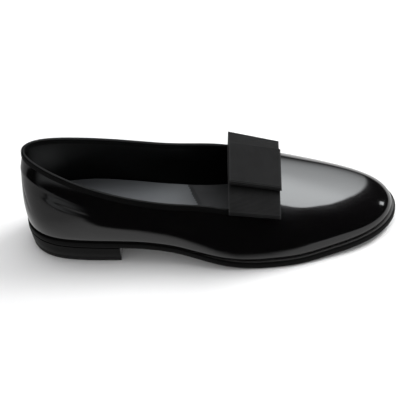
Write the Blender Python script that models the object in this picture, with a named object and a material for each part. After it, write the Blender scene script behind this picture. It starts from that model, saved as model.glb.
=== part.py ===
"""Opera pump for the right foot, standing on its sole.

Metres. +X runs to the toe, +Y to the inner side of the foot, +Z up, floor at z = 0.
The upper is one hollow wall, open at the collar and underneath, where the outsole closes it.
Everything is worked out in last coordinates, with x = 0 at the back of the featherline, the
line where upper and sole meet.  The last step moves the shoe so that the middle of its
footprint is at the origin.
"""
import math

import bmesh
import bpy
import numpy as np
from mathutils import Vector
from mathutils.bvhtree import BVHTree

# Fit between neighbouring pieces
gap = 0.0003

# Last, measured at the featherline; it widens from the waist's to the ball's share of its length
featherline_length = 0.2920
ball_width = 0.0965
heel_width = 0.0700
waist_share = 0.25
ball_share = 0.70

# Outsole and heel
sole_thickness = 0.0058
sole_margin = 0.0028
sole_arris = 0.0006
heel_height = 0.0157
heel_breast_at = 0.0750
heel_taper = 0.0022
top_piece_thickness = 0.0045
toe_spring = 0.0050

# Collar, with heights measured up from the top of the outsole
counter_height = 0.0656
throat_height = 0.0527
throat_at = 0.1893
collar_width = 0.0700

# Walls
upper_wall = 0.0020
skived_wall = 0.0010
insole_thickness = 0.0072
insole_clearance = 0.0011
insole_arris = 0.0008

# Topline binding
binding_depth = 0.0050
binding_thickness = 0.0006
binding_proud = 0.00035

# Bow: two flat loops of one ribbon, stacked.  Middles are measured from the last's middle line.
ribbon_width = 0.0412
ribbon_thickness = 0.0009
bow_middle_at = 0.1832
lower_loop_span = 0.0810
lower_loop_middle = -0.0015
lower_loop_crown = 0.0098
upper_loop_span = 0.0415
upper_loop_middle = -0.0035
upper_loop_forward = 0.0014
upper_loop_crown = 0.0005
lower_loop_twist = 0.075
upper_loop_twist = 0.010
bow_slope = 0.235
bow_tilt = 0.168
loop_opening = 0.0022
pinch_opening = 0.0008

# Mesh fineness
ring_stations = 84
outline_stations = 38
loop_stations = 13
fold_stations = 5
ribbon_stations = 5
wall_steps = 121
sharp_angle = 40

# Heights that follow from the sizes above
tread_top = sole_thickness + gap
seat_top = heel_height + sole_thickness + gap
collar_top = seat_top + counter_height
throat_top = tread_top + throat_height
vamp_length = featherline_length - throat_at

# One row for each place around the last, from the back of the heel along the outer side to
# the toe and back along the inner side.  Each row gives a foot of the wall on the featherline
# and its head on the topline.
#   along       x of the foot, as a share of featherline_length
#   across      y of the foot, as a share of the last's width there
#   top_along   x of the head, as a share of throat_at
#   top_across  y of the head, as a share of collar_width
#   rear, fore  height of the head, as shares of collar_top and throat_top
#   rise        how far the wall climbs before it turns in, as a share of throat_top
#   bulge       how far it leans out there, as a share of heel_width
#   reach       how far it still leans out below the head, as a share of vamp_length
#   drop        how far below the head that is, as a share of throat_top
WALL_COLUMNS = ("along", "across", "top_along", "top_across",
                "rear", "fore", "rise", "bulge", "reach", "drop")
WALL_ROWS = {
    "heel_back":         (0.000, -0.010, 0.015, 0.018, 1.000, 0.000, 0.44, 0.060, 0.012, 0.40),
    "outer_heel_corner": (0.038, -0.350, 0.064, -0.176, 0.929, 0.050, 0.44, 0.060, 0.024, 0.38),
    "outer_heel":        (0.144, -0.514, 0.224, -0.339, 0.622, 0.300, 0.38, 0.045, 0.034, 0.32),
    "outer_rear_waist":  (0.274, -0.548, 0.423, -0.423, 0.311, 0.560, 0.32, 0.035, 0.042, 0.28),
    "outer_waist":       (0.404, -0.549, 0.614, -0.473, 0.095, 0.780, 0.28, 0.032, 0.050, 0.25),
    "outer_fore_waist":  (0.531, -0.566, 0.783, -0.499, 0.000, 0.876, 0.26, 0.034, 0.060, 0.22),
    "outer_tread":       (0.644, -0.527, 0.896, -0.485, 0.000, 0.815, 0.26, 0.036, 0.074, 0.20),
    "outer_ball":        (0.736, -0.488, 0.957, -0.361, 0.000, 0.870, 0.28, 0.045, 0.125, 0.19),
    "outer_forepart":    (0.829, -0.401, 0.984, -0.219, 0.000, 0.928, 0.29, 0.050, 0.205, 0.19),
    "outer_toe_side":    (0.918, -0.289, 0.995, -0.101, 0.000, 0.975, 0.32, 0.058, 0.285, 0.20),
    "outer_toe_corner":  (0.979, -0.122, 0.999, -0.016, 0.000, 0.996, 0.34, 0.058, 0.335, 0.21),
    "toe":               (1.000, 0.075, 1.000, 0.043, 0.000, 1.000, 0.34, 0.052, 0.350, 0.22),
    "inner_toe_corner":  (0.983, 0.246, 0.999, 0.114, 0.000, 0.997, 0.34, 0.058, 0.335, 0.21),
    "inner_toe_side":    (0.918, 0.382, 0.988, 0.214, 0.000, 0.991, 0.33, 0.060, 0.285, 0.20),
    "inner_forepart":    (0.815, 0.477, 0.951, 0.357, 0.000, 0.978, 0.31, 0.055, 0.200, 0.20),
    "inner_ball":        (0.702, 0.485, 0.886, 0.459, 0.000, 0.963, 0.32, 0.050, 0.110, 0.22),
    "inner_fore_waist":  (0.565, 0.397, 0.775, 0.496, 0.027, 0.950, 0.35, 0.055, 0.062, 0.25),
    "inner_waist":       (0.411, 0.347, 0.604, 0.486, 0.174, 0.780, 0.36, 0.065, 0.052, 0.28),
    "inner_rear_waist":  (0.274, 0.437, 0.418, 0.460, 0.427, 0.520, 0.34, 0.055, 0.042, 0.28),
    "inner_heel":        (0.144, 0.478, 0.222, 0.387, 0.692, 0.270, 0.40, 0.050, 0.034, 0.32),
    "inner_heel_corner": (0.038, 0.321, 0.064, 0.224, 0.934, 0.050, 0.44, 0.060, 0.024, 0.38),
}

# Underside of the outsole, as shares of featherline_length, heel_height and toe_spring
SOLE_COLUMNS = ("along", "heel", "toe")
SOLE_ROWS = (
    (0.000, 1.00, 0.00),
    (0.150, 0.98, 0.00),
    (0.290, 0.90, 0.00),
    (0.400, 0.71, 0.00),
    (0.470, 0.46, 0.00),
    (0.540, 0.19, 0.00),
    (0.600, 0.04, 0.00),
    (0.640, 0.00, 0.00),
    (0.730, 0.00, 0.00),
    (0.830, 0.00, 0.25),
    (0.920, 0.00, 0.62),
    (1.000, 0.00, 1.00),
)

# How far the outsole stands out past the featherline, as a share of sole_margin
MARGIN_COLUMNS = ("along", "margin")
MARGIN_ROWS = (
    (0.000, 0.30),
    (0.260, 0.30),
    (0.420, 0.35),
    (0.580, 0.80),
    (0.700, 1.00),
    (1.000, 1.00),
)

# Where along the wall, from foot to binding, the upper has a ring of points
WALL_SHARES = (0.0, 0.05, 0.12, 0.21, 0.31, 0.42, 0.53, 0.64, 0.75, 0.86, 0.94, 1.0)


def column(columns, rows, name):
    """One column of a table, as an array."""
    return np.array([row[columns.index(name)] for row in rows])


def periodic_spline(knots, values, at):
    """Smooth closed curve through values at knots; the last knot repeats the first."""
    step = np.diff(knots)
    count = len(step)
    slope = np.diff(values, axis=0) / step[:, None]
    matrix = np.zeros((count, count))
    right = np.zeros((count, values.shape[1]))
    for i in range(count):
        before = i - 1
        after = (i + 1) % count
        matrix[i, before] += step[before]
        matrix[i, i] += 2 * (step[before] + step[i])
        matrix[i, after] += step[i]
        right[i] = 6 * (slope[i] - slope[before])
    bend = np.linalg.solve(matrix, right)
    bend = np.vstack([bend, bend[:1]])
    span = np.clip(np.searchsorted(knots, at, side="right") - 1, 0, count - 1)
    width = step[span][:, None]
    left = (knots[span + 1] - at)[:, None]
    past = (at - knots[span])[:, None]
    cubic = (bend[span] * left ** 3 + bend[span + 1] * past ** 3) / (6 * width)
    start = (values[span] / width - bend[span] * width / 6) * left
    finish = (values[span + 1] / width - bend[span + 1] * width / 6) * past
    return cubic + start + finish


def steady_curve(at, knots, values):
    """Curve through a table of heights that never overshoots them, so that flats stay flat."""
    step = np.diff(knots)
    slope = np.diff(values) / step
    tangent = np.zeros(len(knots))
    for i in range(1, len(knots) - 1):
        if slope[i - 1] * slope[i] > 0:
            heavy = 2 * step[i] + step[i - 1]
            light = step[i] + 2 * step[i - 1]
            tangent[i] = (heavy + light) / (heavy / slope[i - 1] + light / slope[i])
    tangent[0] = slope[0]
    tangent[-1] = slope[-1]
    at = np.clip(at, knots[0], knots[-1])
    span = np.clip(np.searchsorted(knots, at, side="right") - 1, 0, len(step) - 1)
    t = (at - knots[span]) / step[span]
    start = (1 + 2 * t) * (1 - t) ** 2 * values[span] + t * t * (3 - 2 * t) * values[span + 1]
    lean = t * (1 - t) ** 2 * tangent[span] - t * t * (1 - t) * tangent[span + 1]
    return start + lean * step[span]


def last_width(x):
    """Width that the featherline's shares refer to: the heel's, then growing to the ball's."""
    share = np.clip((x / featherline_length - waist_share) / (ball_share - waist_share), 0, 1)
    return heel_width + (ball_width - heel_width) * share * share * (3 - 2 * share)


def sole_underside(x):
    """Height of the outsole's underside above the floor."""
    knots = column(SOLE_COLUMNS, SOLE_ROWS, "along") * featherline_length
    heights = column(SOLE_COLUMNS, SOLE_ROWS, "heel") * heel_height
    heights = heights + column(SOLE_COLUMNS, SOLE_ROWS, "toe") * toe_spring
    return steady_curve(x, knots, heights)


def sole_top(x):
    """Height of the outsole's upper face."""
    return sole_underside(x) + sole_thickness


def edge_margin(x):
    """How far the outsole stands out past the featherline."""
    knots = column(MARGIN_COLUMNS, MARGIN_ROWS, "along") * featherline_length
    return steady_curve(x, knots, column(MARGIN_COLUMNS, MARGIN_ROWS, "margin")) * sole_margin


def wall_curves(stations):
    """Foot, head and the two handles of the wall at evenly spaced stations round the last."""
    wall = dict(zip(WALL_COLUMNS, np.array(list(WALL_ROWS.values())).T))
    foot_x = wall["along"] * featherline_length
    foot_y = wall["across"] * last_width(foot_x)
    head_z = wall["rear"] * collar_top + wall["fore"] * throat_top
    values = np.column_stack([
        foot_x, foot_y,
        wall["top_along"] * throat_at, wall["top_across"] * collar_width, head_z,
        wall["rise"] * throat_top, wall["bulge"] * heel_width,
        wall["reach"] * vamp_length, wall["drop"] * throat_top,
    ])
    values = np.vstack([values, values[:1]])
    chord = np.linalg.norm(np.diff(values[:, :2], axis=0), axis=1)
    knots = np.concatenate([[0.0], np.cumsum(chord)]) / chord.sum()
    at = np.arange(stations) / stations
    curve = periodic_spline(knots, values, at)
    foot = np.column_stack([curve[:, :2], sole_top(curve[:, 0]) + gap])
    head = curve[:, 2:5]
    low = foot + outward(foot) * curve[:, 6:7]
    low[:, 2] += curve[:, 5]
    high = head + outward(head) * curve[:, 7:8]
    high[:, 2] -= curve[:, 8]
    return foot, low, high, head


def outward(ring):
    """Level unit vectors pointing out of a closed ring that runs anticlockwise from above."""
    along = np.roll(ring, -1, axis=0) - np.roll(ring, 1, axis=0)
    side = np.column_stack([along[:, 1], -along[:, 0], np.zeros(len(ring))])
    return side / np.linalg.norm(side, axis=1)[:, None]


def wall_ring(curves, where):
    """Points and outward normals of the wall's face, where(length) up each station's curve."""
    foot, low, high, head = curves
    t = np.linspace(0, 1, wall_steps)[:, None, None]
    path = ((1 - t) ** 3 * foot + 3 * t * (1 - t) ** 2 * low
            + 3 * t * t * (1 - t) * high + t ** 3 * head)
    hop = np.linalg.norm(np.diff(path, axis=0), axis=2)
    run = np.vstack([np.zeros(len(foot)), np.cumsum(hop, axis=0)])
    points = np.empty_like(foot)
    climb = np.empty_like(foot)
    for i in range(len(foot)):
        distance = where(run[-1, i])
        for axis in range(3):
            points[i, axis] = np.interp(distance, run[:, i], path[:, i, axis])
        k = min(max(np.searchsorted(run[:, i], distance), 1), len(run) - 1)
        climb[i] = path[k, i] - path[k - 1, i]
    along = np.roll(points, -1, axis=0) - np.roll(points, 1, axis=0)
    normal = np.cross(along, climb)
    return points, normal / np.linalg.norm(normal, axis=1)[:, None]


def from_topline(depth):
    """Place on the wall at a depth below the topline."""
    return lambda length: length - depth


def up_the_wall(share):
    """Place on the wall at a share of the way from its foot to the edge of the binding."""
    return lambda length: share * (length - binding_depth - gap)


def last_outline(climb, margin, stations):
    """Outline of the last a short climb up its wall, set out by a margin that may vary with x.

    Gives x from heel to toe, and y of the outer and the inner side at each x.
    """
    around = wall_ring(wall_curves(4 * ring_stations), lambda length: climb)[0]
    ring = around[:, :2] + outward(around)[:, :2] * margin(around[:, 0])[:, None]
    back = ring[:, 0].argmin()
    ring = np.roll(ring, -back, axis=0)
    toe = ring[:, 0].argmax()
    outer = ring[:toe + 1]
    inner = np.vstack([ring[toe:], ring[:1]])[::-1]
    span = (1 - np.cos(np.pi * np.arange(stations) / (stations - 1))) / 2
    x = ring[0, 0] + (ring[toe, 0] - ring[0, 0]) * span
    outer_y = np.interp(x, outer[:, 0], outer[:, 1])
    inner_y = np.interp(x, inner[:, 0], inner[:, 1])
    return x, outer_y, inner_y


def outline_ring(x, outer_y, inner_y, height):
    """Closed ring from the two sides of an outline, at a height worked out from x."""
    outer = np.column_stack([x, outer_y, height(x)])
    inner = np.column_stack([x, inner_y, height(x)])
    return np.vstack([outer, inner[-2:0:-1]])


def heel_ring(margin, breast_at, height):
    """Closed ring round the back of the last, cut straight across at the heel breast."""
    x, outer_y, inner_y = last_outline(0.0, margin, 4 * outline_stations)
    count = outline_stations // 2
    span = 1 - np.cos(np.pi / 2 * np.arange(count) / (count - 1))
    at = x[0] + (breast_at - x[0]) * span
    outer = np.interp(at, x, outer_y)
    inner = np.interp(at, x, inner_y)
    side = np.column_stack([at, outer, height(at)])
    other = np.column_stack([at, inner, height(at)])
    return np.vstack([side, other[:0:-1]])


def solid(name, points, faces, material):
    """New object from points and faces, with its faces turned to point out."""
    mesh = bpy.data.meshes.new(name)
    mesh.from_pydata([tuple(p) for p in points], [], faces)
    work = bmesh.new()
    work.from_mesh(mesh)
    bmesh.ops.recalc_face_normals(work, faces=work.faces)
    work.to_mesh(mesh)
    work.free()
    mesh.shade_smooth()
    mesh.set_sharp_from_angle(angle=math.radians(sharp_angle))
    mesh.materials.append(material)
    piece = bpy.data.objects.new(name, mesh)
    bpy.context.scene.collection.objects.link(piece)
    return piece


def band_faces(ring_count, size, closed):
    """Quads between neighbouring rings of equal size, and back to the first ring if closed."""
    faces = []
    pairs = ring_count if closed else ring_count - 1
    for k in range(pairs):
        a = k * size
        b = ((k + 1) % ring_count) * size
        for i in range(size):
            j = (i + 1) % size
            faces.append((a + i, a + j, b + j, b + i))
    return faces


def hoop_solid(name, rings, material):
    """Solid whose section is a closed chain of rings: a wall, a binding or a ribbon loop."""
    faces = band_faces(len(rings), len(rings[0]), closed=True)
    return solid(name, np.vstack(rings), faces, material)


def cap_faces(start, size, square_end):
    """Faces across an outline ring, joining the points that share an x."""
    faces = []
    if square_end:
        pairs = [(k, size - k) for k in range(1, (size + 1) // 2)]
        faces.append((start, start + 1, start + size - 1))
    else:
        pairs = [(k, size - k) for k in range(1, size // 2)]
        faces.append((start, start + 1, start + size - 1))
        middle = size // 2
        faces.append((start + middle - 1, start + middle, start + middle + 1))
    for (a, b), (c, d) in zip(pairs, pairs[1:]):
        faces.append((start + a, start + c, start + d, start + b))
    return faces


def slab_solid(name, rings, material, square_end=False):
    """Solid from a stack of outline rings, closed across its first and last ring."""
    size = len(rings[0])
    faces = band_faces(len(rings), size, closed=False)
    faces += cap_faces(0, size, square_end)
    faces += cap_faces((len(rings) - 1) * size, size, square_end)
    return solid(name, np.vstack(rings), faces, material)


def finish(name, colour, roughness, metallic=0.0):
    """Principled material with a colour, roughness and metallic value."""
    material = bpy.data.materials.new(name)
    material.use_nodes = True
    shader = material.node_tree.nodes["Principled BSDF"]
    shader.inputs["Base Color"].default_value = (*colour, 1.0)
    shader.inputs["Roughness"].default_value = roughness
    shader.inputs["Metallic"].default_value = metallic
    material.diffuse_color = (*colour, 1.0)
    return material


def build_outsole(material):
    """Leather outsole: true outline, arch and toe spring, with a fine bevel at both edges."""
    rings = []
    for inset, top, shift in ((sole_arris, True, 0.0), (0.0, True, -sole_arris),
                              (0.0, False, sole_arris), (sole_arris, False, 0.0)):
        level = sole_top if top else sole_underside
        outline = last_outline(0.0, lambda x, i=inset: edge_margin(x) - i, outline_stations)
        rings.append(outline_ring(*outline, lambda x, f=level, s=shift: f(x) + s))
    return slab_solid("outsole", rings, material)


def build_heel(block_material, lift_material):
    """Heel block under the seat of the outsole, on its rubber top piece."""
    block_foot = top_piece_thickness + gap

    def taper(z):
        """How far the heel draws in at a height, down from the underside of the sole."""
        return heel_taper * (1 - z / heel_height)

    def ring(z, height):
        """Ring of the heel at a nominal height."""
        return heel_ring(lambda x: edge_margin(x) - taper(z), heel_breast_at, height)

    block = [
        ring(heel_height, lambda x: sole_underside(x) - gap),
        ring(block_foot, lambda x: np.full(len(x), block_foot)),
    ]
    lift = [
        ring(top_piece_thickness, lambda x: np.full(len(x), top_piece_thickness)),
        ring(sole_arris, lambda x: np.full(len(x), sole_arris)),
        heel_ring(lambda x: edge_margin(x) - taper(0) - sole_arris,
                  heel_breast_at - sole_arris, lambda x: np.zeros(len(x))),
    ]
    slab_solid("heel_block", block, block_material, square_end=True)
    slab_solid("heel_top_piece", lift, lift_material, square_end=True)


def build_insole(material):
    """Insole with its sock, lying on the outsole inside the wall."""
    clear = upper_wall + insole_clearance
    rings = []
    for inset, climb in ((0.0, 0.0), (0.0, insole_thickness / 2),
                         (0.0, insole_thickness - insole_arris), (insole_arris, insole_thickness)):
        outline = last_outline(climb, lambda x, i=inset: np.full(len(x), -clear - i), outline_stations)
        rings.append(outline_ring(*outline, lambda x, c=climb: sole_top(x) + gap + c))
    return slab_solid("insole", rings, material)


def build_upper(curves, material):
    """Hollow upper: one wall from featherline to topline, skived thin under the binding."""
    edge = binding_depth + gap
    outer_skive = binding_thickness + gap - binding_proud
    inner_skive = outer_skive + skived_wall
    rim = binding_thickness + gap
    face = [(up_the_wall(share), 0.0) for share in WALL_SHARES]
    face += [(from_topline(edge), outer_skive), (from_topline((edge + rim) / 2), outer_skive),
             (from_topline(rim), outer_skive)]
    lining = [(from_topline(rim), inner_skive), (from_topline((edge + rim) / 2), inner_skive),
              (from_topline(edge), inner_skive)]
    lining += [(up_the_wall(share), upper_wall) for share in reversed(WALL_SHARES)]
    rings = []
    for where, inset in face + lining:
        points, normal = wall_ring(curves, where)
        rings.append(points - normal * inset)
    for ring in (rings[0], rings[-1]):
        ring[:, 2] = sole_top(ring[:, 0]) + gap
    return hoop_solid("upper", rings, material)


def build_binding(curves, material):
    """Ribbon binding folded over the skived topline, cut from the upper's own face."""
    outer_leg = binding_thickness - binding_proud
    inner_leg = outer_leg + gap + skived_wall + gap
    section = [
        (binding_depth, -binding_proud), (binding_depth / 2, -binding_proud),
        (binding_thickness, -binding_proud), (0.0, outer_leg - binding_proud + gap),
        (0.0, inner_leg - gap), (binding_thickness, inner_leg + binding_thickness),
        (binding_depth / 2, inner_leg + binding_thickness),
        (binding_depth, inner_leg + binding_thickness),
        (binding_depth, inner_leg), (binding_depth / 2, inner_leg),
        (binding_thickness, inner_leg), (binding_thickness, outer_leg),
        (binding_depth / 2, outer_leg), (binding_depth, outer_leg),
    ]
    rings = []
    for depth, inset in section:
        points, normal = wall_ring(curves, from_topline(depth))
        rings.append(points - normal * inset)
    return hoop_solid("topline_binding", rings, material)


def loop_path(span, crown):
    """Middle line of a flat ribbon loop seen from the toe: y and height from its middle."""
    half = span / 2
    share = np.sin(np.linspace(-1, 1, loop_stations) * np.pi / 2)
    opening = pinch_opening + (loop_opening - pinch_opening) * share ** 2
    radius = (opening + ribbon_thickness) / 2
    y = share * (half - radius[0] - ribbon_thickness / 2)
    rest = -crown * share ** 2
    top = np.column_stack([y, rest + radius])
    bottom = np.column_stack([y, rest - radius])[::-1]
    turn = np.linspace(0, np.pi, fold_stations + 2)[1:-1]
    fold = np.column_stack([np.sin(turn), np.cos(turn)]) * radius[0]
    return np.vstack([top, fold + (y[-1], rest[-1]), bottom, -fold + (y[0], rest[0])])


def path_normals(path):
    """Unit normals of a closed path in its own plane, pointing out of it."""
    along = np.roll(path, -1, axis=0) - np.roll(path, 1, axis=0)
    side = np.column_stack([-along[:, 1], along[:, 0]])
    return side / np.linalg.norm(side, axis=1)[:, None]


def loop_rings(path, twist, middle, lift):
    """Rings of a ribbon loop across its width, which slopes down to the toe and the outside."""
    side = path_normals(path) * ribbon_thickness / 2
    slope = bow_slope + twist * path[:, 0] / path[:, 0].max()
    across = np.linspace(-0.5, 0.5, ribbon_stations) * ribbon_width / math.hypot(1, bow_slope)
    rings = []
    for sign, steps in ((1, across), (-1, across[::-1])):
        for x in steps:
            ring = path + sign * side
            height = ring[:, 1] + lift + bow_tilt * (ring[:, 0] + middle[1]) - slope * x
            rings.append(np.column_stack([np.full(len(ring), middle[0] + x),
                                          ring[:, 0] + middle[1], height]))
    return rings


def surface(points, faces):
    """Search tree of a mesh's faces."""
    return BVHTree.FromPolygons([Vector(p) for p in points], faces)


def clear_height(points, faces, support):
    """Smallest upright distance between a mesh and the supporting object under it."""
    far = Vector((0, 0, 1))
    under = np.array([v.co[:] for v in support.data.vertices])
    pairs = ((points, surface(under, [p.vertices for p in support.data.polygons]), -far),
             (under, surface(points, faces), far))
    room = []
    for cloud, tree, way in pairs:
        for point in cloud:
            hit = tree.ray_cast(Vector(point), way)[0]
            if hit is not None:
                room.append(abs(point[2] - hit.z))
    return min(room)


def build_bow(supports, material):
    """Two stacked ribbon loops, the lower one lying on the vamp and its binding."""
    start = 2 * throat_top
    for name, span, crown, twist, middle in (
            ("bow_lower_loop", lower_loop_span, lower_loop_crown, lower_loop_twist,
             (bow_middle_at, lower_loop_middle)),
            ("bow_upper_loop", upper_loop_span, upper_loop_crown, upper_loop_twist,
             (bow_middle_at + upper_loop_forward, upper_loop_middle))):
        path = loop_path(span, crown)
        rings = loop_rings(path, twist, middle, start)
        faces = band_faces(len(rings), len(path), closed=True)
        drop = min(clear_height(np.vstack(rings), faces, support) for support in supports) - gap
        supports = [hoop_solid(name, loop_rings(path, twist, middle, start - drop), material)]


def centre_footprint():
    """Move every mesh so that the middle of the whole footprint is at the origin."""
    pieces = [o for o in bpy.context.scene.objects if o.type == "MESH"]
    corners = np.array([v.co[:] for o in pieces for v in o.data.vertices])
    low = corners.min(axis=0)
    high = corners.max(axis=0)
    middle = Vector(((low[0] + high[0]) / 2, (low[1] + high[1]) / 2, 0))
    for piece in pieces:
        for vertex in piece.data.vertices:
            vertex.co -= middle


def main():
    """Build the shoe."""
    for old in list(bpy.data.objects):
        bpy.data.objects.remove(old, do_unlink=True)
    patent = finish("black_patent_leather", (0.010, 0.010, 0.011), 0.05)
    sole_leather = finish("black_sole_leather", (0.012, 0.012, 0.012), 0.35)
    stacked_leather = finish("black_heel_leather", (0.014, 0.014, 0.014), 0.30)
    rubber = finish("black_rubber", (0.016, 0.016, 0.016), 0.60)
    sock = finish("black_sock_leather", (0.018, 0.018, 0.019), 0.30)
    grosgrain = finish("black_grosgrain", (0.020, 0.020, 0.021), 0.75)

    curves = wall_curves(ring_stations)
    build_outsole(sole_leather)
    build_heel(stacked_leather, rubber)
    build_insole(sock)
    upper = build_upper(curves, patent)
    binding = build_binding(curves, grosgrain)
    build_bow([upper, binding], grosgrain)
    centre_footprint()


main()
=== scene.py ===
"""Looks of the opera pump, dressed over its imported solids.

Metres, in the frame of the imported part: +X to the toe, +Y to the inner side, floor at z = 0.
The leather, ribbon and sole are finer meshes on the same curves as the solids they stand for.
"""
import math

import bmesh
import bpy
import numpy as np
from mathutils import Matrix, Quaternion, Vector


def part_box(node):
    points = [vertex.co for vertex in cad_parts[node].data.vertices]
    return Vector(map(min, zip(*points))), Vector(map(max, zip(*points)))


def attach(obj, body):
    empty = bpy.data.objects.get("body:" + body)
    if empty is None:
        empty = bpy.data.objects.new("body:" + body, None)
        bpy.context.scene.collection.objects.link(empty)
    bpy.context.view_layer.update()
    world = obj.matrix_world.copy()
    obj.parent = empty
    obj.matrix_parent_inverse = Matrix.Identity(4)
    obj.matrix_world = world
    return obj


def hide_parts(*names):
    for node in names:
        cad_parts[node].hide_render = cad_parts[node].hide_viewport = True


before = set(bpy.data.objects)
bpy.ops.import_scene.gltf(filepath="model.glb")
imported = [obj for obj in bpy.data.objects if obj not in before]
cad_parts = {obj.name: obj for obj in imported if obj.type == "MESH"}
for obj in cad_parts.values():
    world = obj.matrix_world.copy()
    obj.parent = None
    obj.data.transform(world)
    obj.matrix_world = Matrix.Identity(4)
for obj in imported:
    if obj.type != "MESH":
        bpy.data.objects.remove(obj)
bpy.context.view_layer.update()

# Sizes of the part, the same as in its source
gap = 0.0003
featherline_length = 0.2920
ball_width = 0.0965
heel_width = 0.0700
waist_share = 0.25
ball_share = 0.70
sole_thickness = 0.0058
sole_margin = 0.0028
heel_height = 0.0157
heel_breast_at = 0.0750
heel_taper = 0.0022
top_piece_thickness = 0.0045
toe_spring = 0.0050
counter_height = 0.0656
throat_height = 0.0527
throat_at = 0.1893
collar_width = 0.0700
upper_wall = 0.0020
skived_wall = 0.0010
insole_thickness = 0.0072
insole_clearance = 0.0011
binding_depth = 0.0050
binding_thickness = 0.0006
binding_proud = 0.00035
ribbon_width = 0.0412
ribbon_thickness = 0.0009
bow_middle_at = 0.1832
lower_loop_span = 0.0810
lower_loop_middle = -0.0015
lower_loop_crown = 0.0098
upper_loop_span = 0.0415
upper_loop_middle = -0.0035
upper_loop_forward = 0.0014
upper_loop_crown = 0.0005
lower_loop_twist = 0.075
upper_loop_twist = 0.010
bow_slope = 0.235
bow_tilt = 0.168
loop_opening = 0.0022
pinch_opening = 0.0008

tread_top = sole_thickness + gap
seat_top = heel_height + sole_thickness + gap
collar_top = seat_top + counter_height
throat_top = tread_top + throat_height
vamp_length = featherline_length - throat_at

# From last coordinates, with x = 0 at the back of the featherline, to the part's own frame
SHIFT = np.array([0.146644, -0.001373, 0.0])

# Fineness of the dressed meshes
AROUND = 480           # points round the wall
OUTLINE = 150          # points along one side of an outline
FACE_RINGS = 90        # rings up the upper's face
LINING_RINGS = 44      # rings down its lining
BINDING_POINTS = 10    # points down each leg of the binding
BINDING_TURN = 9       # points round its fold
SOCK_POINTS = 41       # points across the sock
HEEL_POINTS = 60       # points along one side of the heel
LOOP_POINTS = 81       # points along one side of a loop of ribbon
LOOP_TURN = 17         # points round each of its ends
RIBBON_POINTS = 30     # points across the ribbon

WALL_COLUMNS = ("along", "across", "top_along", "top_across",
                "rear", "fore", "rise", "bulge", "reach", "drop")
WALL_ROWS = {
    "heel_back":         (0.000, -0.010, 0.015, 0.018, 1.000, 0.000, 0.44, 0.060, 0.012, 0.40),
    "outer_heel_corner": (0.038, -0.350, 0.064, -0.176, 0.929, 0.050, 0.44, 0.060, 0.024, 0.38),
    "outer_heel":        (0.144, -0.514, 0.224, -0.339, 0.622, 0.300, 0.38, 0.045, 0.034, 0.32),
    "outer_rear_waist":  (0.274, -0.548, 0.423, -0.423, 0.311, 0.560, 0.32, 0.035, 0.042, 0.28),
    "outer_waist":       (0.404, -0.549, 0.614, -0.473, 0.095, 0.780, 0.28, 0.032, 0.050, 0.25),
    "outer_fore_waist":  (0.531, -0.566, 0.783, -0.499, 0.000, 0.876, 0.26, 0.034, 0.060, 0.22),
    "outer_tread":       (0.644, -0.527, 0.896, -0.485, 0.000, 0.815, 0.26, 0.036, 0.074, 0.20),
    "outer_ball":        (0.736, -0.488, 0.957, -0.361, 0.000, 0.870, 0.28, 0.045, 0.125, 0.19),
    "outer_forepart":    (0.829, -0.401, 0.984, -0.219, 0.000, 0.928, 0.29, 0.050, 0.205, 0.19),
    "outer_toe_side":    (0.918, -0.289, 0.995, -0.101, 0.000, 0.975, 0.32, 0.058, 0.285, 0.20),
    "outer_toe_corner":  (0.979, -0.122, 0.999, -0.016, 0.000, 0.996, 0.34, 0.058, 0.335, 0.21),
    "toe":               (1.000, 0.075, 1.000, 0.043, 0.000, 1.000, 0.34, 0.052, 0.350, 0.22),
    "inner_toe_corner":  (0.983, 0.246, 0.999, 0.114, 0.000, 0.997, 0.34, 0.058, 0.335, 0.21),
    "inner_toe_side":    (0.918, 0.382, 0.988, 0.214, 0.000, 0.991, 0.33, 0.060, 0.285, 0.20),
    "inner_forepart":    (0.815, 0.477, 0.951, 0.357, 0.000, 0.978, 0.31, 0.055, 0.200, 0.20),
    "inner_ball":        (0.702, 0.485, 0.886, 0.459, 0.000, 0.963, 0.32, 0.050, 0.110, 0.22),
    "inner_fore_waist":  (0.565, 0.397, 0.775, 0.496, 0.027, 0.950, 0.35, 0.055, 0.062, 0.25),
    "inner_waist":       (0.411, 0.347, 0.604, 0.486, 0.174, 0.780, 0.36, 0.065, 0.052, 0.28),
    "inner_rear_waist":  (0.274, 0.437, 0.418, 0.460, 0.427, 0.520, 0.34, 0.055, 0.042, 0.28),
    "inner_heel":        (0.144, 0.478, 0.222, 0.387, 0.692, 0.270, 0.40, 0.050, 0.034, 0.32),
    "inner_heel_corner": (0.038, 0.321, 0.064, 0.224, 0.934, 0.050, 0.44, 0.060, 0.024, 0.38),
}
SOLE_COLUMNS = ("along", "heel", "toe")
SOLE_ROWS = (
    (0.000, 1.00, 0.00), (0.150, 0.98, 0.00), (0.290, 0.90, 0.00), (0.400, 0.71, 0.00),
    (0.470, 0.46, 0.00), (0.540, 0.19, 0.00), (0.600, 0.04, 0.00), (0.640, 0.00, 0.00),
    (0.730, 0.00, 0.00), (0.830, 0.00, 0.25), (0.920, 0.00, 0.62), (1.000, 0.00, 1.00),
)
MARGIN_COLUMNS = ("along", "margin")
MARGIN_ROWS = (
    (0.000, 0.30), (0.260, 0.30), (0.420, 0.35), (0.580, 0.80), (0.700, 1.00), (1.000, 1.00),
)


# Curves of the part

def column(columns, rows, name):
    """One column of a table, as an array."""
    return np.array([row[columns.index(name)] for row in rows])


def ease(share):
    """Smooth step of a share from 0 to 1."""
    share = np.clip(share, 0, 1)
    return share * share * (3 - 2 * share)


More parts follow.
